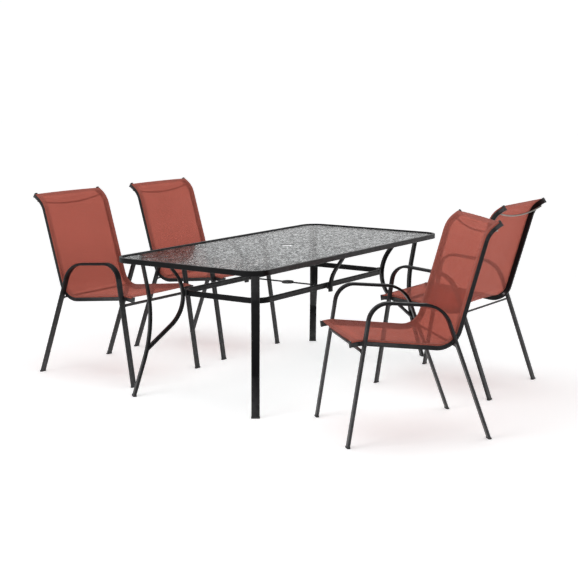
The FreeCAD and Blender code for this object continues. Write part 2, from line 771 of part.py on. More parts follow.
def rail_path():
    """Seat front to the rolled top of the back."""
    return rounded_path([
        (RAIL_TIP_Y, RAIL_TIP_Z, 0),
        (RAIL_FRONT_BEND_Y, RAIL_FRONT_BEND_Z, RAIL_FRONT_BEND_RADIUS),
        (RAIL_SEAT_BEND_Y, RAIL_SEAT_BEND_Z, RAIL_SEAT_BEND_RADIUS),
        (RAIL_ROLL_Y, RAIL_ROLL_Z, RAIL_ROLL_RADIUS),
        (RAIL_TOP_Y, RAIL_TOP_Z, 0),
    ])


def rail_crossings():
    """Points where a rail crosses the front and the rear leg, in the rail's plane."""
    plane = rail_plane()
    legs = path_edges(plane, loop_path())
    rail = path_edges(plane, rail_path())
    return [crossing([legs[0]], rail), crossing([legs[-1]], rail)]


def groove_loop():
    """The sling groove in the rail's outer face, a little behind its front face."""
    u_out = RAIL_TUBE_WIDTH / 2
    v_mid = RAIL_TUBE_DEPTH / 2 - GROOVE_SETBACK - GROOVE_WIDTH / 2
    centre = (u_out - GROOVE_DEPTH / 2 + GROOVE_OVERRUN / 2, v_mid)
    return box_loop(GROOVE_DEPTH + GROOVE_OVERRUN, GROOVE_WIDTH, GROOVE_EDGE_RADIUS, centre)


def rail_hollow_loop():
    """The rail's cavity, stepped round the groove."""
    u0 = -RAIL_TUBE_WIDTH / 2 + RAIL_WALL
    u1 = RAIL_TUBE_WIDTH / 2 - RAIL_WALL
    u_step = RAIL_TUBE_WIDTH / 2 - GROOVE_DEPTH - RAIL_WALL
    v0 = -RAIL_TUBE_DEPTH / 2 + RAIL_WALL
    v1 = RAIL_TUBE_DEPTH / 2 - RAIL_WALL
    v_step = RAIL_TUBE_DEPTH / 2 - GROOVE_SETBACK - GROOVE_WIDTH - RAIL_WALL
    points = [(u0, v0), (u1, v0), (u1, v_step), (u_step, v_step), (u_step, v1), (u0, v1)]
    return rounded_loop(points, RAIL_INNER_RADIUS)


def side_rail():
    plane = rail_plane()
    path = rail_path()
    outer = sweep(plane, path, [box_loop(RAIL_TUBE_WIDTH, RAIL_TUBE_DEPTH, RAIL_EDGE_RADIUS)])
    rail = outer.cut(sweep(plane, path, [groove_loop()]))
    rail = rail.cut(sweep(plane, path, [rail_hollow_loop()]))
    for point in rail_crossings():
        start = V(RAIL_CENTRE_X - RAIL_TUBE_WIDTH, point.y, point.z)
        rail = rail.cut(bolt_hole(start, V(1, 0, 0), 2 * RAIL_TUBE_WIDTH))
    return rail


def leg_loop():
    loops = flat_oval(LOOP_TUBE_WIDTH, LOOP_TUBE_THICKNESS, LOOP_WALL)
    loop = sweep(loop_plane(), loop_path(), loops)
    loop = clipped(loop, CHAIR_FOOT_HEIGHT, loop.BoundBox.ZMax + CUT_MARGIN)
    for point in rail_crossings():
        start = V(RAIL_CENTRE_X, point.y, point.z)
        loop = loop.cut(bolt_hole(start, V(1, 0, 0), RAIL_TUBE_WIDTH))
    return loop


def chair_bolts():
    """Bolts from the inner face of each rail into the leg loops."""
    bolts = []
    for point in rail_crossings():
        face = V(RAIL_CENTRE_X - RAIL_TUBE_WIDTH / 2, point.y, point.z)
        bolts.append(bolt(face, V(1, 0, 0), RAIL_TUBE_WIDTH + BOLT_GRIP))
    return bolts + [mirror_x(b) for b in bolts]


def cross_bar(radius, low, high, height):
    """A round tube between the two loops, coped to their rounded sides."""
    y = line_at_height(low, high, height)
    reach = CHAIR_FOOT_X - LOOP_TUBE_WIDTH / 2 + BAR_WELD_DEPTH
    bar = straight_tube(radius, BAR_WALL, V(-reach, y, height), V(reach, y, height))
    outer = sweep(loop_plane(), loop_path(), flat_oval(LOOP_TUBE_WIDTH, LOOP_TUBE_THICKNESS, LOOP_WALL)[:1])
    return bar.cut(outer).cut(mirror_x(outer))


def crossbars():
    front = cross_bar(
        FRONT_BAR_RADIUS, (CHAIR_FRONT_FOOT_Y, 0.0), (ARM_FRONT_Y, ARM_FRONT_Z), FRONT_BAR_HEIGHT
    )
    rear = cross_bar(
        REAR_BAR_RADIUS, (CHAIR_REAR_FOOT_Y, 0.0), (ARM_REAR_Y, ARM_REAR_Z), REAR_BAR_HEIGHT
    )
    return [front, rear]


def back_spreader():
    """A thin rod behind the top of the back, bowed down between the rails."""
    top = (RAIL_TOP_Y, RAIL_TOP_Z)
    heading = unit(RAIL_TOP_Y - RAIL_ROLL_Y, RAIL_TOP_Z - RAIL_ROLL_Z)
    behind = RAIL_TUBE_DEPTH / 2 + BOW_RADIUS
    end_y = top[0] - heading[0] * BOW_FROM_TOP - heading[1] * behind
    end_z = top[1] - heading[1] * BOW_FROM_TOP + heading[0] * behind
    down = unit(RAIL_SEAT_BEND_Y - RAIL_ROLL_Y, RAIL_SEAT_BEND_Z - RAIL_ROLL_Z)
    plane = Plane(V(0, end_y, end_z), V(1, 0, 0), V(0, down[0], down[1]))
    half = RAIL_CENTRE_X + RAIL_TUBE_WIDTH / 2 - BOW_END_INSET
    radius = (half * half + BOW_SAG * BOW_SAG) / (2 * BOW_SAG)
    sweep_angle = 2 * math.asin(half / radius)
    start_heading = (math.cos(sweep_angle / 2), math.sin(sweep_angle / 2))
    path = [("arc", (-half, 0.0), (0.0, BOW_SAG - radius), -sweep_angle, start_heading)]
    return [sweep(plane, path, [box_loop(2 * BOW_RADIUS, 2 * BOW_RADIUS, BOW_RADIUS)])]


def sling():
    """The mesh sling as a thin closed sheet over the rails' front faces."""
    plane = Plane(V(0, 0, 0), V(0, 1, 0), V(0, 0, 1))
    half = RAIL_CENTRE_X + RAIL_TUBE_WIDTH / 2 - SLING_SIDE_MARGIN
    v_mid = RAIL_TUBE_DEPTH / 2 + SLING_LIFT + SLING_THICKNESS / 2
    loop = box_loop(2 * half, SLING_THICKNESS, SLING_EDGE_RADIUS, (0.0, v_mid))
    return [sweep(plane, trimmed(rail_path(), SLING_END_MARGIN, SLING_END_MARGIN), [loop])]


def sling_splines():
    """Plastic rods that hold the sling's edges in the rail grooves."""
    u_mid = RAIL_TUBE_WIDTH / 2 - GROOVE_DEPTH / 2 - SPLINE_CLEARANCE
    v_mid = RAIL_TUBE_DEPTH / 2 - GROOVE_SETBACK - GROOVE_WIDTH / 2
    loop = box_loop(2 * SPLINE_RADIUS, 2 * SPLINE_RADIUS, SPLINE_RADIUS, (u_mid, v_mid))
    spline = sweep(rail_plane(), trimmed(rail_path(), SPLINE_END_MARGIN, SPLINE_END_MARGIN), [loop])
    return [spline, mirror_x(spline)]


def rail_cap(end, outward):
    """A black plastic cap over a rail's open end, with an insert into its cavity."""
    plane = rail_plane()
    lid_loop = box_loop(RAIL_TUBE_WIDTH + 2 * CAP_LIP, RAIL_TUBE_DEPTH + 2 * CAP_LIP, RAIL_EDGE_RADIUS)
    heading = (-outward[0], -outward[1])
    lid = section_face(plane, [lid_loop], end, heading).extrude(plane.direction(*outward) * CAP_THICKNESS)
    shrink = RAIL_WALL + PLUG_CLEARANCE
    u0 = -RAIL_TUBE_WIDTH / 2 + shrink
    u1 = RAIL_TUBE_WIDTH / 2 - GROOVE_DEPTH - shrink
    v_size = RAIL_TUBE_DEPTH - 2 * shrink
    insert_loop = box_loop(u1 - u0, v_size, CAP_INSERT_RADIUS, ((u0 + u1) / 2, 0.0))
    face = section_face(plane, [insert_loop], end, heading)
    insert = face.extrude(plane.direction(*heading) * CAP_INSERT)
    return lid.fuse(insert).removeSplitter()


def end_plugs():
    """Rail caps and feet, all of the chair's plastic plugs."""
    front_out = unit(RAIL_TIP_Y - RAIL_FRONT_BEND_Y, RAIL_TIP_Z - RAIL_FRONT_BEND_Z)
    top_out = unit(RAIL_TOP_Y - RAIL_ROLL_Y, RAIL_TOP_Z - RAIL_ROLL_Z)
    plane = loop_plane()
    path = loop_path()
    last = path[-1]
    backwards = [("line", last[2], last[1])]
    size = (LOOP_TUBE_WIDTH, LOOP_TUBE_THICKNESS, LOOP_WALL, CHAIR_FOOT_HEIGHT)
    plugs = [
        rail_cap((RAIL_TIP_Y, RAIL_TIP_Z), front_out),
        rail_cap((RAIL_TOP_Y, RAIL_TOP_Z), top_out),
        foot_plug(plane, path, *size),
        foot_plug(plane, backwards, *size),
    ]
    return plugs + [mirror_x(p) for p in plugs]


def chair_parts():
    loop = leg_loop()
    rail = side_rail()
    return {
        "right_leg_loop": [loop],
        "left_leg_loop": [mirror_x(loop)],
        "right_side_rail": [rail],
        "left_side_rail": [mirror_x(rail)],
        "crossbars": crossbars(),
        "back_spreader": back_spreader(),
        "sling": sling(),
        "sling_splines": sling_splines(),
        "end_plugs": end_plugs(),
        "bolts": chair_bolts(),
    }


def table_parts():
    parts = {
        "glass_top": glass_top(),
        "rim_side_rails": rim_side_rails(),
        "rim_end_rails": rim_end_rails(),
        "rim_connectors": rim_connectors(),
        "corner_plates": list(four_corners(corner_plate()).values()),
        "lower_ring": lower_ring(),
        "ring_spacers": ring_spacers(),
        "umbrella_bar": umbrella_bar(),
        "table_feet": table_feet(),
        "table_bolts": table_bolts(),
    }
    strut = mid_strut()
    parts["mid_strut_back"] = [strut]
    parts["mid_strut_front"] = [mirror_y(strut)]
    for corner, shape in four_corners(table_leg()).items():
        parts["leg_" + corner] = [shape]
    for corner, shape in four_corners(table_brace()).items():
        parts["brace_" + corner] = [shape]
    return parts


def placed(shape, x, side, distance, turn):
    """A copy of a chair piece, turned about the vertical and moved on the floor."""
    copy = shape.copy()
    copy.rotate(V(0, 0, 0), V(0, 0, 1), turn)
    copy.translate(V(x, side * (TABLE_WIDTH / 2 + distance), 0))
    return copy


def solids_of(shapes):
    found = []
    for shape in shapes:
        found.extend(shape.Solids)
    return found


def write_node(name, shapes):
    solids = solids_of(shapes)
    shape = solids[0] if len(solids) == 1 else Part.Compound(solids)
    shape.exportStep("parts/" + name + ".step")
    good = all(s.isValid() for s in solids)
    volume = sum(s.Volume for s in solids) / 1000
    print("%-28s %2d solids %9.1f cm3 %s" % (name, len(solids), volume, "ok" if good else "BAD"))


def main():
    os.makedirs("parts", exist_ok=True)
    for name, shapes in table_parts().items():
        write_node(name, shapes)
    chair = chair_parts()
    for chair_name, place in CHAIR_PLACES.items():
        for piece, shapes in chair.items():
            write_node(chair_name + "_" + piece, [placed(s, *place) for s in shapes])


main()
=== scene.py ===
import json
import math

import bpy
import numpy as np
from mathutils import Matrix, Vector

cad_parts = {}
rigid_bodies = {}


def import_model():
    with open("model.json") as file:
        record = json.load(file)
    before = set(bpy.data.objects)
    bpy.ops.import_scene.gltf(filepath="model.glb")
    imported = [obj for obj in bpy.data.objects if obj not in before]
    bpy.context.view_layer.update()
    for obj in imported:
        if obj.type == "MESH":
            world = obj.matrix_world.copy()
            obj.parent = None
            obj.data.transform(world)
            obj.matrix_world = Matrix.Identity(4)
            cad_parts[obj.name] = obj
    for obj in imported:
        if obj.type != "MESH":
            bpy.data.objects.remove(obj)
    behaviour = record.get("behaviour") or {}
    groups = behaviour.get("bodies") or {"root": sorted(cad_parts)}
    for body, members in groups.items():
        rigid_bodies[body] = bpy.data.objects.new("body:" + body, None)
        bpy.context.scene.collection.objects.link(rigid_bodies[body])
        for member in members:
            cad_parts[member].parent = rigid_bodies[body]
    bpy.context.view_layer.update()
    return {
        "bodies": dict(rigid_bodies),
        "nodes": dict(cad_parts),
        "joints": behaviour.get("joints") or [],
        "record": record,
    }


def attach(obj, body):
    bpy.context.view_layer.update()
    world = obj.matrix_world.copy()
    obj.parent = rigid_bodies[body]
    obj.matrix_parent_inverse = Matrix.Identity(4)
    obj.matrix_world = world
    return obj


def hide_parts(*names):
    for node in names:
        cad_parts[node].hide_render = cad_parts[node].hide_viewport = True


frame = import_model()
NODES = frame["nodes"]
RECORD = frame["record"]

# ---- Sizes, in metres ----
FABRIC = 0.0010            # one layer of sling mesh
HEM_EXTRA = 0.0008         # added where the mesh is folded double
FABRIC_LIFT = 0.0002       # between the rail's front face and the mesh
CAD_SLING_GAP = 0.0023     # from the rail's front face to the CAD sling's upper face
HEM_LENGTH = 0.022
SEAM_IN = 0.011            # sewn seam, inward of the rail's inner edge
RAIL_WIDTH = 0.016
RAIL_EDGE = 0.003
GROOVE_SETBACK = 0.0043    # from the rail's front face to where the mesh turns in
TUCK = 0.0032              # how far the mesh goes into the groove
THREAD_PITCH = 0.0016
STITCH_PITCH = 0.0045
STITCH_LENGTH = 0.0031
STITCH_RADIUS = 0.00035
STITCH_RING = 6
STITCH_SHAPE = ((0.0, 0.45), (0.25, 1.0), (0.75, 1.0), (1.0, 0.45))  # along it, and how thick
STITCH_LIFT = (0.9, -0.2)  # how far a stitch stands on the cloth: by its thickness, and sunk in
STITCH_SPREAD = (0.0015, 0.0055)  # the two rows of a side seam, outward of the seam
END_STITCH_IN = 0.003      # the row across a hem, inside the hem's edge
SEAM_CLEARANCE = 0.002     # the row across a hem ends this far short of the side seams
HEM_STEP = 0.0008          # half the run over which a hem's edge thickens
GROOVE_TURN = ((0.0, 0.0006), (0.0002, 0.0001), (0.0009, -0.0003))  # in, and forward of the setback
TUCK_LEVEL = 0.0004        # the tucked mesh runs this much deeper than GROOVE_SETBACK
LENGTHWISE_TENSION = 0.022  # of the tension from rail to rail
RELAXING_STEPS = 900
ROWS = 170
COLUMNS = 36
EDGE_STEPS = 5             # points round the rail's rounded front edge
WELD_RADIUS = 0.0017
WELD_OUTSET = 0.0006       # the bead's middle, outside the rail's outer face
WELD_RIPPLES = 9
WELD_RIPPLE = 0.14         # of the bead's radius
WELD_STEPS = 28
WELD_RING = 8
WELD_STANDOFF = 0.4        # the bead's middle off the bar's surface, as a share of its radius
UPPER_FACE_COSINE = 0.68   # faces turned further from the sitter aren't the sling's upper face
PROFILE_KEYS = 5000        # to a metre: points closer than one of these count as one

# ---- Colours, as linear red, green and blue ----
MESH_RED = ((0.38, 0.094, 0.065), (0.43, 0.108, 0.076))
# painted shade: darker red on each thread's sides
MESH_THREAD_EDGE_PAINTED_SHADE = (0.25, 0.058, 0.042)
# painted shade: darker red where the mesh is folded double
MESH_FOLDED_PAINTED_SHADE = (0.27, 0.055, 0.040)
MESH_LET_THROUGH = (0.80, 0.42, 0.36)
MESH_SHEEN = (1.0, 0.66, 0.58)
THREAD_RED = ((0.24, 0.045, 0.03), (0.38, 0.085, 0.06))
TABLE_BLACK = ((0.002, 0.002, 0.0024), (0.005, 0.005, 0.0054))
# paler edge colours: partly rubbed wear, partly a painted highlight
TABLE_RUBBED_AND_HIGHLIGHT = (0.09, 0.09, 0.092)
CHAIR_BLACK = ((0.004, 0.004, 0.0048), (0.008, 0.008, 0.0088))
CHAIR_RUBBED_AND_HIGHLIGHT = (0.13, 0.13, 0.133)
ROD_ZINC = ((0.22, 0.21, 0.19), (0.33, 0.32, 0.29))
BOLT_ZINC = ((0.22, 0.22, 0.23), (0.36, 0.36, 0.37))
PLASTIC_BLACK = ((0.012, 0.012, 0.013), (0.026, 0.026, 0.027))
# painted reflection and painted shade of the glass: colours per pebble, dark seen aslant, pale seen square on
GLASS_PAINTED_SHADE_ASLANT = ((0.010, 0.011, 0.012), (0.60, 0.62, 0.62))
GLASS_PAINTED_SPECKLE_SQUARE_ON = ((0.66, 0.70, 0.70), (0.90, 0.93, 0.92))
FLOOR_WHITE = ((0.86, 0.86, 0.86), (0.88, 0.88, 0.88))
SKY_LOW = (1.0, 1.0, 1.0)
SKY_HIGH = (0.16, 0.16, 0.165)

# ---- Studio ----
FLOOR_REACH = 30.0
FLOOR_GLOW = (0.46, 0.80)  # emission near the set, and far from it
FLOOR_GLOW_FROM = 1.5
FLOOR_GLOW_TO = 7.0
SKY_STRENGTH = 1.02
SKY_BLEND = (0.10, 0.45)   # how far up, as a share of straight up, low sky turns to high
CAMERA_PLACE = (-5.561, -3.789, 1.594)
CAMERA_YAW = 34.21         # degrees, from X towards Y
CAMERA_PITCH = -9.49       # degrees
CAMERA_LENS = 79.54        # millimetres
SENSOR_WIDTH = 36.0        # millimetres
LIGHTS = (                 # name, place, what it is aimed at, size, watts
    ("overhead", (0.0, 0.0, 4.2), (0, 0, 0), (5.0, 4.0), 105.0),
    ("left", (-5.5, 1.5, 2.6), (0, 0, 0.5), (3.0, 2.5), 105.0),
    ("front", (-2.5, -6.0, 2.4), (0, 0, 0.5), (3.0, 2.0), 40.0),
)

# ---- Scales of the patterns, per metre ----
COAT_CLOUDS = 7.0
COAT_WEAR_AND_HIGHLIGHT = 40.0           # patches where an edge is paler: rubbed wear and painted highlight
COAT_SHEEN_PATCHES = 55.0
ORANGE_PEEL = 900.0
PEBBLES = 115.0            # pebbles of the glass
PEBBLE_WARP = 90.0
STEEL_CLOUDS = 60.0
STEEL_PATCHES = 180.0
STEEL_GRAIN = 600.0
PLASTIC_CLOUDS = 30.0
PLASTIC_PATCHES = 120.0
MOULD_GRAIN = 1500.0
MESH_CLOUDS = 6.0
MESH_PATCHES = 45.0
THREAD_FLECKS = 400.0
FLOOR_CLOUDS = 1.5

# ---- Ranges and single values of the materials ----
COAT_ROUGHNESS = (0.28, 0.40)
EDGE_POINTINESS = (0.53, 0.62)  # from where an edge counts as paler, rubbed wear and painted highlight, to fully
RUBBED_AND_HIGHLIGHT_SHARE = 0.8
PEBBLE_BEND = 0.006        # metres that the warp moves the pebbles' outlines
GLASS_PAINTED_SPECKLE_TILTS = (0.48, 0.76)     # painted reflection: the pebbles' random tilts, painted from dark to pale in the glass's colour
GLASS_PAINTED_SHADE_FACING = (0.35, 0.82)     # painted shade: facing at which the colour turns from the square-on speckle to the darker aslant speckle
GLASS_COAT = (0.02, 0.70)       # coat weight of the dull pebbles, and of the shiny ones
GLASS_COAT_TILTS = (0.45, 0.85)
GLASS_ROUGHNESS = 0.05
GLASS_TRANSMISSION = 0.85
GLASS_IOR = 1.04
ROD_ROUGHNESS = (0.38, 0.55)
BOLT_ROUGHNESS = (0.3, 0.45)
STEEL_METALLIC = 0.85
PLASTIC_ROUGHNESS = (0.5, 0.66)
MESH_ROUGHNESS = (0.52, 0.68)
MESH_OPEN_SHARE = (0.36, 1.0)   # of light let past a thread's face, and between the threads
MESH_EDGE_PAINTED_SHADE = (0.0, 0.45)   # how much painted shade, the darker edge colour, a thread takes towards its sides
THREAD_ROUGHNESS = 0.7
FLOOR_ROUGHNESS = 0.9


# ---- Materials ----

def new_material(name):
    mat = bpy.data.materials.new(name)
    mat.use_nodes = True
    return mat, mat.node_tree, mat.node_tree.nodes["Principled BSDF"]


def node(tree, kind, sockets=None, **settings):
    made = tree.nodes.new(kind)
    for key, value in settings.items():
        setattr(made, key, value)
    for key, value in (sockets or {}).items():
        target = made.inputs[key]
        if isinstance(value, bpy.types.NodeSocket):
            tree.links.new(value, target)
        else:
            target.default_value = value
    return made


def math_node(tree, operation, a, b=0.0):
    return node(tree, "ShaderNodeMath", {0: a, 1: b}, operation=operation).outputs[0]


def noise(tree, scale, detail=3.0):
    coords = node(tree, "ShaderNodeTexCoord").outputs["Object"]
    return node(tree, "ShaderNodeTexNoise", {"Vector": coords, "Scale": scale, "Detail": detail}).outputs[0]


def spread(tree, value, low, high, start=0.3, end=0.7):
    sockets = {"Value": value, "From Min": start, "From Max": end, "To Min": low, "To Max": high}
    return node(tree, "ShaderNodeMapRange", sockets).outputs[0]


def blend_colours(tree, factor, low, high):
    mix = node(tree, "ShaderNodeMix", {"Factor": factor}, data_type="RGBA")
    colour_inputs = [s for s in mix.inputs if s.type == "RGBA"]
    for socket, value in zip(colour_inputs, (low, high)):
        if isinstance(value, bpy.types.NodeSocket):
            tree.links.new(value, socket)
        else:
            socket.default_value = (*value, 1.0)
    return [s for s in mix.outputs if s.type == "RGBA"][0]


def bump(tree, height, strength, distance):
    sockets = {"Height": height, "Strength": strength, "Distance": distance}
    return node(tree, "ShaderNodeBump", sockets).outputs[0]


def cloudy(tree, scale, colours, detail=3.0):
    """A colour that drifts between two, in clouds."""
    return blend_colours(tree, spread(tree, noise(tree, scale, detail), 0.0, 1.0), *colours)


def powder_coat(name, colours, worn_and_highlight, gloss):
    """Satin powder coat: fine orange peel, cloudy tone and paler edges, partly rubbed wear and partly a
    painted highlight.
    """
    mat, tree, shader = new_material(name)
    tone = cloudy(tree, COAT_CLOUDS, colours)
    pointed = node(tree, "ShaderNodeNewGeometry").outputs["Pointiness"]
    edges = spread(tree, pointed, 0.0, RUBBED_AND_HIGHLIGHT_SHARE, *EDGE_POINTINESS)
    # paler edges: partly rubbed wear, partly a painted highlight
    rubbed_and_highlight = math_node(tree, "MULTIPLY", edges, noise(tree, COAT_WEAR_AND_HIGHLIGHT))
    tree.links.new(blend_colours(tree, rubbed_and_highlight, tone, worn_and_highlight), shader.inputs["Base Color"])
    tree.links.new(spread(tree, noise(tree, COAT_SHEEN_PATCHES), *COAT_ROUGHNESS), shader.inputs["Roughness"])
    tree.links.new(bump(tree, noise(tree, ORANGE_PEEL, 2.0), 0.18, 0.0003), shader.inputs["Normal"])
    shader.inputs["Specular IOR Level"].default_value = gloss
    return mat


def pebbled_glass(name):
    """Toughened glass with an obscuring pebble pattern.

    Each pebble's colour is painted dark to pale at random, a painted reflection. A low IOR under a
    clear coat leaves the shine to the coat, and painted shade darkens the colour seen aslant.
    """
    mat, tree, shader = new_material(name)
    coords = node(tree, "ShaderNodeTexCoord").outputs["Object"]
    sockets = {"Vector": coords, "Scale": PEBBLE_WARP, "Detail": 1.0}
    warp = node(tree, "ShaderNodeTexNoise", sockets).outputs["Color"]
    bent = node(tree, "ShaderNodeVectorMath", {0: warp, "Scale": PEBBLE_BEND}, operation="SCALE").outputs[0]
    place = node(tree, "ShaderNodeVectorMath", {0: coords, 1: bent}, operation="ADD").outputs[0]
    pebbles = node(tree, "ShaderNodeTexVoronoi", {"Vector": place, "Scale": PEBBLES}, feature="F1")
    tilt = node(tree, "ShaderNodeSeparateXYZ", {0: pebbles.outputs["Color"]})
    tree.links.new(bump(tree, pebbles.outputs["Distance"], 0.10, 0.003), shader.inputs["Normal"])
    # painted reflection: each pebble coloured dark to pale at random; painted shade darkens it when seen
    # aslant
    painted_speckle = spread(tree, tilt.outputs[0], 0.0, 1.0, *GLASS_PAINTED_SPECKLE_TILTS)
    painted_shade_aslant = blend_colours(tree, painted_speckle, *GLASS_PAINTED_SHADE_ASLANT)
    painted_speckle_square_on = blend_colours(tree, painted_speckle, *GLASS_PAINTED_SPECKLE_SQUARE_ON)
    facing = node(tree, "ShaderNodeLayerWeight", {"Blend": 0.5}).outputs["Facing"]
    tint = blend_colours(tree, spread(tree, facing, 0.0, 1.0, *GLASS_PAINTED_SHADE_FACING), painted_speckle_square_on, painted_shade_aslant)
    tree.links.new(tint, shader.inputs["Base Color"])
    coat = spread(tree, tilt.outputs[1], *GLASS_COAT, *GLASS_COAT_TILTS)
    tree.links.new(coat, shader.inputs["Coat Weight"])
    shader.inputs["Coat Roughness"].default_value = GLASS_ROUGHNESS
    shader.inputs["Transmission Weight"].default_value = GLASS_TRANSMISSION
    shader.inputs["Roughness"].default_value = GLASS_ROUGHNESS
    shader.inputs["IOR"].default_value = GLASS_IOR
    return mat


def bare_steel(name, colours, roughness):
    """Dull zinc-plated steel."""
    mat, tree, shader = new_material(name)
    tree.links.new(cloudy(tree, STEEL_CLOUDS, colours, 4.0), shader.inputs["Base Color"])
    tree.links.new(spread(tree, noise(tree, STEEL_PATCHES), *roughness), shader.inputs["Roughness"])
    tree.links.new(bump(tree, noise(tree, STEEL_GRAIN), 0.1, 0.0002), shader.inputs["Normal"])
    shader.inputs["Metallic"].default_value = STEEL_METALLIC
    return mat


def moulded_plastic(name):
    """Matte black moulded plastic with a fine spark-eroded grain."""
    mat, tree, shader = new_material(name)
    tree.links.new(cloudy(tree, PLASTIC_CLOUDS, PLASTIC_BLACK), shader.inputs["Base Color"])
    tree.links.new(spread(tree, noise(tree, PLASTIC_PATCHES), *PLASTIC_ROUGHNESS), shader.inputs["Roughness"])
    tree.links.new(bump(tree, noise(tree, MOULD_GRAIN, 1.0), 0.25, 0.0002), shader.inputs["Normal"])
    return mat


def thread_edge(tree, coordinate):
    """0 along the middle of each thread and 1 midway between two threads."""
    share = math_node(tree, "FRACT", coordinate)
    aside = math_node(tree, "ABSOLUTE", math_node(tree, "SUBTRACT", share, 0.5))
    return math_node(tree, "MULTIPLY", aside, 2.0)


def sling_mesh(name):
    """Coated polyester mesh: open square weave, closed where it is folded and sewn."""
    mat, tree, shader = new_material(name)
    weave = node(tree, "ShaderNodeUVMap", uv_map="Weave").outputs[0]
    across = node(tree, "ShaderNodeSeparateXYZ", {0: weave})
    warp = thread_edge(tree, across.outputs[0])
    weft = thread_edge(tree, across.outputs[1])
    folded = node(tree, "ShaderNodeAttribute", attribute_name="folded").outputs["Fac"]
    gap = math_node(tree, "MULTIPLY",
                    math_node(tree, "GREATER_THAN", warp, 0.5),
                    math_node(tree, "GREATER_THAN", weft, 0.5))
    single = math_node(tree, "SUBTRACT", 1.0, math_node(tree, "MULTIPLY", folded, 0.5))
    clear = node(tree, "ShaderNodeBsdfTransparent", {"Color": (*MESH_LET_THROUGH, 1.0)}).outputs[0]
    open_share = math_node(tree, "MULTIPLY", spread(tree, gap, *MESH_OPEN_SHARE, 0.0, 1.0), single)
    sockets = {0: open_share, 1: shader.outputs[0], 2: clear}
    mixed = node(tree, "ShaderNodeMixShader", sockets).outputs[0]
    tree.links.new(mixed, tree.nodes["Material Output"].inputs["Surface"])
    tone = cloudy(tree, MESH_CLOUDS, MESH_RED)
    # painted shade darkening each thread towards its sides
    edge = spread(tree, math_node(tree, "MINIMUM", warp, weft), *MESH_EDGE_PAINTED_SHADE, 0.1, 0.8)
    threads = blend_colours(tree, edge, tone, MESH_THREAD_EDGE_PAINTED_SHADE)
    # painted shade: a little darker where the mesh is folded double
    sewn_with_painted_shade = blend_colours(tree, math_node(tree, "MULTIPLY", folded, 0.12), threads, MESH_FOLDED_PAINTED_SHADE)
    tree.links.new(sewn_with_painted_shade, shader.inputs["Base Color"])
    tree.links.new(spread(tree, noise(tree, MESH_PATCHES), *MESH_ROUGHNESS), shader.inputs["Roughness"])
    raised = math_node(tree, "SUBTRACT", 1.0, math_node(tree, "MINIMUM", warp, weft))
    tree.links.new(bump(tree, raised, 0.5, 0.0005), shader.inputs["Normal"])
    shader.inputs["Specular IOR Level"].default_value = 0.18
    shader.inputs["Sheen Weight"].default_value = 0.22
    shader.inputs["Sheen Tint"].default_value = (*MESH_SHEEN, 1.0)
    return mat


def sewing_thread(name):
    """Matte thread in the mesh's own red."""
    mat, tree, shader = new_material(name)
    tree.links.new(cloudy(tree, THREAD_FLECKS, THREAD_RED), shader.inputs["Base Color"])
    shader.inputs["Roughness"].default_value = THREAD_ROUGHNESS
    return mat


MATERIALS = {
    "table_frame": powder_coat("table_coat", TABLE_BLACK, TABLE_RUBBED_AND_HIGHLIGHT, 0.10),
    "chair_frame": powder_coat("chair_coat", CHAIR_BLACK, CHAIR_RUBBED_AND_HIGHLIGHT, 0.15),
    "table_glass": pebbled_glass("pebbled_glass"),
    "bare_rod": bare_steel("zinc_rod", ROD_ZINC, ROD_ROUGHNESS),
    "fasteners": bare_steel("zinc_bolts", BOLT_ZINC, BOLT_ROUGHNESS),
    "plastic_black": moulded_plastic("black_plastic"),
    "sling_mesh": sling_mesh("terracotta_mesh"),
}
THREAD = sewing_thread("terracotta_thread")


def dress_nodes():
    """Every carried-over CAD node takes the procedural material of its slot."""
    for part in RECORD["subparts"]:
        mesh = NODES[part["node"]].data
        mesh.materials.clear()
        mesh.materials.append(MATERIALS[part["material_slot"]])


# ---- Meshes ----

def make_object(name, verts, faces, material, smooth=True):
    mesh = bpy.data.meshes.new(name)
    mesh.from_pydata([tuple(v) for v in verts], [], faces)
    mesh.validate()
    mesh.materials.append(material)
    mesh.polygons.foreach_set("use_smooth", [smooth] * len(mesh.polygons))
    obj = bpy.data.objects.new(name, mesh)
    bpy.context.scene.collection.objects.link(obj)
    return obj


class ChairFrame:
    """A chair's own axes: u to its right, v the way it faces, z up."""

    def __init__(self, body):
        joint = [j for j in frame["joints"] if j["child"] == body][0]
        self.body = body
        self.forward = -Vector(joint["axis"]).normalized()
        self.right = Vector((self.forward.y, -self.forward.x, 0.0))
        self.shift = 0.0
        sides = [self.local(body + "_right_side_rail"), self.local(body + "_left_side_rail")]
        reach = np.vstack(sides)[:, 0]
        self.shift = (reach.max() + reach.min()) / 2
        self.rail_outer = (reach.max() - reach.min()) / 2

    def local(self, name):
        """A CAD node's vertices as u, v, z."""
        mesh = NODES[name].data
        points = np.empty(len(mesh.vertices) * 3)
        mesh.vertices.foreach_get("co", points)
        points = points.reshape(-1, 3)
        u = points @ np.array(self.right) - self.shift
        v = points @ np.array(self.forward)
        return np.column_stack([u, v, points[:, 2]])

    def world(self, points):
        points = np.asarray(points)
        right = np.array(self.right)
        forward = np.array(self.forward)
        out = np.outer(points[:, 0] + self.shift, right) + np.outer(points[:, 1], forward)
        out[:, 2] += points[:, 2]
        return out


def upper_profile(chair):
    """The line of the CAD sling's upper face from the seat's front to the top, as v and z."""
    name = chair.body + "_sling"
    points = chair.local(name)
    towards_sitter = (Vector(chair.forward) + Vector((0, 0, 1))).normalized()
    found = {}
    for face in NODES[name].data.polygons:
        if face.normal.dot(towards_sitter) > UPPER_FACE_COSINE:
            for index in face.vertices:
                v, z = points[index][1:]
                found[round((z - v) * PROFILE_KEYS)] = (v, z)
    return np.array([found[key] for key in sorted(found)])


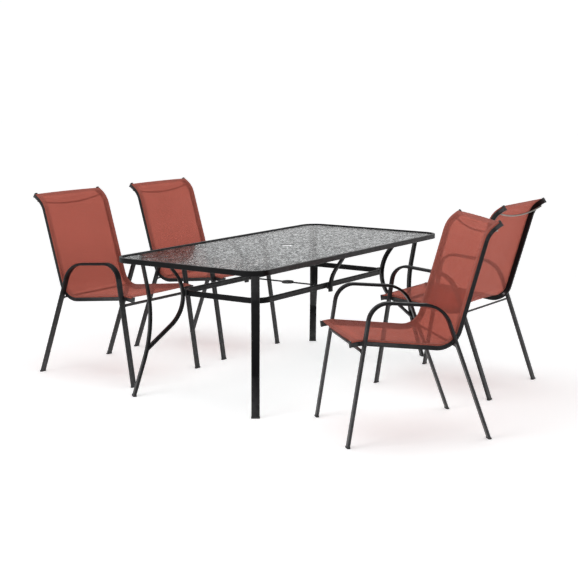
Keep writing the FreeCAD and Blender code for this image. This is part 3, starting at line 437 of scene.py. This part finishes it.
def resampled(line, stations):
    """Points, and unit normals towards the sitter, at distances along a line."""
    distance = running_length(line)
    points = np.column_stack([np.interp(stations, distance, line[:, k]) for k in (0, 1)])
    for _ in range(3):
        points[1:-1] = (points[:-2] + 2 * points[1:-1] + points[2:]) / 4
    heading = np.gradient(points, stations, axis=0)
    heading /= np.linalg.norm(heading, axis=1)[:, None]
    normals = np.column_stack([heading[:, 1], -heading[:, 0]])
    return points, normals


def line_length(line):
    return float(np.linalg.norm(np.diff(line, axis=0), axis=1).sum())


def pulled_taut(points, stations, across):
    """How far a mesh stretched between two rails leaves their line, station by column.

    Each point is drawn to the mean of its neighbours, across from rail to rail and, more
    weakly, along the sling, until the mesh has settled. The first and last rows are free.
    """
    off = np.zeros((len(stations), len(across), 2))
    dx = across[1] - across[0]
    ds = np.gradient(stations)
    pull_x = 1.0 / dx ** 2
    pull_s = (LENGTHWISE_TENSION / ds ** 2)[:, None, None]
    for _ in range(RELAXING_STEPS):
        shape = points[:, None, :] + off
        curve = np.zeros_like(off)
        curve[1:-1] = (shape[:-2] + shape[2:]) / 2 - points[1:-1, None, :]
        curve[0] = off[1]
        curve[-1] = off[-2]
        sides = (off[:, :-2] + off[:, 2:]) / 2
        off[:, 1:-1] = (pull_x * sides + pull_s * curve[:, 1:-1]) / (pull_x + pull_s)
    return off


def cross_section(chair):
    """The mesh's middle line from the centre out and round into the rail's groove, as u and n."""
    outer = chair.rail_outer
    height = FABRIC_LIFT + FABRIC / 2
    bend = RAIL_EDGE + height
    line = [(u, height) for u in np.linspace(0.0, outer - RAIL_EDGE, COLUMNS // 2 + 1)]
    for step in range(1, EDGE_STEPS + 1):
        angle = math.radians(90 - 90 / EDGE_STEPS * step)
        line.append((outer - RAIL_EDGE + bend * math.cos(angle), bend * math.sin(angle) - RAIL_EDGE))
    side = outer + height
    line += [(side - inward, forward - GROOVE_SETBACK) for inward, forward in GROOVE_TURN]
    line.append((outer - TUCK, -GROOVE_SETBACK - TUCK_LEVEL))
    return np.array(line)


def sling_stations(length):
    """Distances along the sling, with extra rows at the hems' edges."""
    rows = list(np.linspace(0.0, length, ROWS))
    for edge in (HEM_LENGTH, length - HEM_LENGTH):
        rows += [edge - HEM_STEP, edge + HEM_STEP]
    return np.array(sorted(set(rows)))


def running_length(points):
    """How far along a line each of its points is."""
    steps = np.linalg.norm(np.diff(points, axis=0), axis=1)
    return np.concatenate([[0.0], np.cumsum(steps)])


def sling_surface(line, points, normals, off, grid_u):
    """The mesh's middle surface and its normals, as u, v and z, station by column."""
    middle = np.zeros((len(points), len(line), 3))
    facing = np.zeros_like(middle)
    turn = np.gradient(line, axis=0)
    turn /= np.linalg.norm(turn, axis=1)[:, None]
    depth = line[:, 1] - CAD_SLING_GAP
    for i in range(len(points)):
        shift = np.column_stack([np.interp(line[:, 0], grid_u, off[i, :, k], 0.0, 0.0) for k in (0, 1)])
        middle[i, :, 0] = line[:, 0]
        middle[i, :, 1:] = points[i] + np.outer(depth, normals[i]) + shift
        facing[i, :, 0] = -turn[:, 1]
        facing[i, :, 1:] = np.outer(turn[:, 0], normals[i])
    return middle, facing


def folded_share(line, stations, length, inner_edge):
    """1 where the mesh is folded double, at both ends and outside the side seams, and else 0."""
    near_end = np.minimum(stations, length - stations)
    end_hem = np.clip((HEM_LENGTH + HEM_STEP - near_end) / (2 * HEM_STEP), 0.0, 1.0)
    side_hem = (np.abs(line[:, 0]) > inner_edge - SEAM_IN).astype(float)
    return np.maximum(end_hem[:, None], side_hem[None, :])


def sling_faces(rows, columns):
    """Quads over a front and a back layer of points, closed along all four edges."""
    faces = []

    def at(i, j, side):
        return side * rows * columns + i * columns + j

    for i in range(rows - 1):
        for j in range(columns - 1):
            faces.append((at(i, j, 0), at(i, j + 1, 0), at(i + 1, j + 1, 0), at(i + 1, j, 0)))
            faces.append((at(i, j, 1), at(i + 1, j, 1), at(i + 1, j + 1, 1), at(i, j + 1, 1)))
    last = columns - 1
    for i in range(rows - 1):
        faces.append((at(i, 0, 1), at(i, 0, 0), at(i + 1, 0, 0), at(i + 1, 0, 1)))
        faces.append((at(i, last, 0), at(i, last, 1), at(i + 1, last, 1), at(i + 1, last, 0)))
    end = rows - 1
    for j in range(columns - 1):
        faces.append((at(0, j, 1), at(0, j + 1, 1), at(0, j + 1, 0), at(0, j, 0)))
        faces.append((at(end, j, 0), at(end, j + 1, 0), at(end, j + 1, 1), at(end, j, 1)))
    return faces


def mark_cloth(mesh, folded, developed, stations):
    """Gives the mesh its folded share, and weave coordinates counted in threads."""
    marks = mesh.attributes.new("folded", "FLOAT", "POINT")
    marks.data.foreach_set("value", np.tile(folded.reshape(-1), 2))
    weave = mesh.uv_layers.new(name="Weave")
    rows, columns = folded.shape
    uv = np.zeros((2 * rows * columns, 2))
    uv[:, 0] = np.tile(np.tile(developed, rows), 2) / THREAD_PITCH
    uv[:, 1] = np.tile(np.repeat(stations, columns), 2) / THREAD_PITCH
    corners = np.empty(len(mesh.loops), int)
    mesh.loops.foreach_get("vertex_index", corners)
    weave.data.foreach_set("uv", uv[corners].reshape(-1))


def build_sling(chair):
    """The sling as one closed sheet, its flat size, and what its stitching needs."""
    profile = upper_profile(chair)
    length = line_length(profile)
    stations = sling_stations(length)
    points, normals = resampled(profile, stations)
    half = cross_section(chair)
    line = np.vstack([half[:0:-1] * [-1, 1], half])
    developed = running_length(line)
    developed -= developed[-1] / 2
    inner_edge = chair.rail_outer - RAIL_WIDTH
    grid_u = np.linspace(-inner_edge, inner_edge, COLUMNS + 1)
    off = pulled_taut(points, stations, grid_u)
    middle, facing = sling_surface(line, points, normals, off, grid_u)
    folded = folded_share(line, stations, length, inner_edge)
    on_rail = np.abs(line[:, 0]) > inner_edge
    extra = np.where(on_rail[None, :], 0.0, folded * HEM_EXTRA)
    front = middle + facing * (FABRIC + extra)[:, :, None] / 2
    back = middle - facing * (FABRIC + extra)[:, :, None] / 2
    verts = np.vstack([front.reshape(-1, 3), back.reshape(-1, 3)])
    faces = sling_faces(len(stations), len(line))
    obj = make_object(chair.body + "_mesh_sling", chair.world(verts), faces, MATERIALS["sling_mesh"])
    mark_cloth(obj.data, folded, developed, stations)
    width = float(developed[-1] - developed[0])
    return obj, (round(width, 3), round(length, 3)), front, facing, line, stations


def stitch_row(points, lifts, verts, faces):
    """Short thread bars laid end to end along a line on the cloth."""
    distance = running_length(points)
    for start in np.arange(STITCH_PITCH / 2, distance[-1] - STITCH_PITCH, STITCH_PITCH):
        ends = [np.array([np.interp(s, distance, points[:, k]) for k in range(3)])
                for s in (start, start + STITCH_LENGTH)]
        lift = np.array([np.interp(start, distance, lifts[:, k]) for k in range(3)])
        along = (ends[1] - ends[0]) / np.linalg.norm(ends[1] - ends[0])
        side = np.cross(along, lift)
        side /= np.linalg.norm(side)
        up = np.cross(side, along)
        base = len(verts)
        for share, size in STITCH_SHAPE:
            lifted = STITCH_LIFT[0] * size + STITCH_LIFT[1]
            centre = ends[0] + (ends[1] - ends[0]) * share + up * STITCH_RADIUS * lifted
            for k in range(STITCH_RING):
                angle = 2 * math.pi * k / STITCH_RING
                verts.append(centre + STITCH_RADIUS * size * (side * math.cos(angle) + up * math.sin(angle)))
        levels = len(STITCH_SHAPE) - 1
        for level in range(levels):
            for k in range(STITCH_RING):
                a = base + level * STITCH_RING + k
                b = base + level * STITCH_RING + (k + 1) % STITCH_RING
                faces.append((a, b, b + STITCH_RING, a + STITCH_RING))
        faces.append(tuple(base + k for k in reversed(range(STITCH_RING))))
        faces.append(tuple(base + levels * STITCH_RING + k for k in range(STITCH_RING)))


def build_stitching(chair, front, normals, line, stations):
    """Two rows of stitches down each side seam, and one across each end's hem."""
    verts, faces = [], []
    seam = chair.rail_outer - RAIL_WIDTH - SEAM_IN
    for side in (-1, 1):
        for offset in STITCH_SPREAD:
            column = int(np.argmin(np.abs(line[:, 0] - side * (seam + offset))))
            path = front[:, column].copy()
            path[:, 0] = side * (seam + offset)
            stitch_row(path, normals[:, column], verts, faces)
    inside = np.abs(line[:, 0]) < seam - SEAM_CLEARANCE
    for distance in (HEM_LENGTH - END_STITCH_IN, stations[-1] - HEM_LENGTH + END_STITCH_IN):
        row = int(np.argmin(np.abs(stations - distance)))
        stitch_row(front[row][inside], normals[row][inside], verts, faces)
    return make_object(chair.body + "_stitching", chair.world(np.array(verts)), faces, THREAD)


def weld_bead(u, v, z, radius, verts, faces):
    """A rippled fillet of weld round the end of a crossbar, where it meets the leg."""
    base = len(verts)
    for i in range(WELD_STEPS):
        angle = 2 * math.pi * i / WELD_STEPS
        size = WELD_RADIUS * (1 + WELD_RIPPLE * math.sin(angle * WELD_RIPPLES))
        for k in range(WELD_RING):
            tilt = 2 * math.pi * k / WELD_RING
            reach = radius + size * WELD_STANDOFF + size * math.cos(tilt)
            out = size * math.sin(tilt)
            verts.append((u + out, v + reach * math.cos(angle), z + reach * math.sin(angle)))
    for i in range(WELD_STEPS):
        here = base + i * WELD_RING
        ahead = base + (i + 1) % WELD_STEPS * WELD_RING
        for k in range(WELD_RING):
            beside = (k + 1) % WELD_RING
            faces.append((here + k, here + beside, ahead + beside, ahead + k))


def build_welds(chair):
    """A bead of weld at both ends of both crossbars."""
    points = chair.local(chair.body + "_crossbars")
    middle = (points[:, 1].max() + points[:, 1].min()) / 2
    verts, faces = [], []
    for bar in (points[points[:, 1] > middle], points[points[:, 1] <= middle]):
        v = (bar[:, 1].max() + bar[:, 1].min()) / 2
        z = (bar[:, 2].max() + bar[:, 2].min()) / 2
        radius = (bar[:, 2].max() - bar[:, 2].min()) / 2
        for side in (-1, 1):
            weld_bead(side * (chair.rail_outer + WELD_OUTSET), v, z, radius, verts, faces)
    return make_object(chair.body + "_welds", chair.world(np.array(verts)), faces, MATERIALS["chair_frame"])


def build_chair(body):
    """A chair's sling, stitching and welds, riding on its body. Gives the sling's flat size."""
    chair = ChairFrame(body)
    sling, flat, front, normals, line, stations = build_sling(chair)
    stitching = build_stitching(chair, front, normals, line, stations)
    welds = build_welds(chair)
    for piece in (sling, stitching, welds):
        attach(piece, body)
    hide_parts(body + "_sling")
    return flat


# ---- Studio ----

def pale_floor():
    """A near-white floor that glows more with distance, so that it melts into the background."""
    reach = FLOOR_REACH
    verts = [(-reach, -reach, 0), (reach, -reach, 0), (reach, reach, 0), (-reach, reach, 0)]
    mat, tree, shader = new_material("studio_floor")
    tree.links.new(cloudy(tree, FLOOR_CLOUDS, FLOOR_WHITE), shader.inputs["Base Color"])
    shader.inputs["Roughness"].default_value = FLOOR_ROUGHNESS
    shader.inputs["Emission Color"].default_value = (1, 1, 1, 1)
    place = node(tree, "ShaderNodeTexCoord").outputs["Object"]
    away = node(tree, "ShaderNodeVectorMath", {0: place}, operation="LENGTH").outputs["Value"]
    glow = spread(tree, away, *FLOOR_GLOW, FLOOR_GLOW_FROM, FLOOR_GLOW_TO)
    tree.links.new(glow, shader.inputs["Emission Strength"])
    floor = make_object("studio_floor", verts, [(0, 1, 2, 3)], mat, smooth=False)


def soft_world():
    """White light from low all round, greyer from overhead."""
    world = bpy.data.worlds.new("studio")
    bpy.context.scene.world = world
    world.use_nodes = True
    tree = world.node_tree
    direction = node(tree, "ShaderNodeTexCoord").outputs["Generated"]
    up = node(tree, "ShaderNodeSeparateXYZ", {0: direction}).outputs[2]
    sky = blend_colours(tree, spread(tree, up, 0.0, 1.0, *SKY_BLEND), SKY_LOW, SKY_HIGH)
    tree.links.new(sky, tree.nodes["Background"].inputs["Color"])
    tree.nodes["Background"].inputs["Strength"].default_value = SKY_STRENGTH


def soft_light(name, location, target, size, power):
    data = bpy.data.lights.new(name, "AREA")
    data.shape = "RECTANGLE"
    data.size, data.size_y = size
    data.energy = power
    lamp = bpy.data.objects.new(name, data)
    lamp.location = location
    lamp.rotation_euler = (Vector(target) - Vector(location)).to_track_quat("-Z", "Y").to_euler()
    bpy.context.scene.collection.objects.link(lamp)


def camera():
    """Standing height, off the table's front left corner, looking slightly down."""
    data = bpy.data.cameras.new("camera")
    data.sensor_width = SENSOR_WIDTH
    data.lens = CAMERA_LENS
    obj = bpy.data.objects.new("camera", data)
    yaw, pitch = math.radians(CAMERA_YAW), math.radians(CAMERA_PITCH)
    ahead = Vector((math.cos(pitch) * math.cos(yaw), math.cos(pitch) * math.sin(yaw), math.sin(pitch)))
    right = ahead.cross(Vector((0, 0, 1))).normalized()
    up = right.cross(ahead)
    turn = Matrix((right, up, -ahead)).transposed().to_4x4()
    obj.matrix_world = Matrix.Translation(CAMERA_PLACE) @ turn
    bpy.context.scene.collection.objects.link(obj)
    bpy.context.scene.camera = obj


dress_nodes()
for chair_body in sorted(b for b in frame["bodies"] if b.startswith("chair_")):
    print("sling", chair_body, build_chair(chair_body))
pale_floor()
soft_world()
for light in LIGHTS:
    soft_light(*light)
camera()
bpy.context.scene.view_settings.view_transform = "Standard"
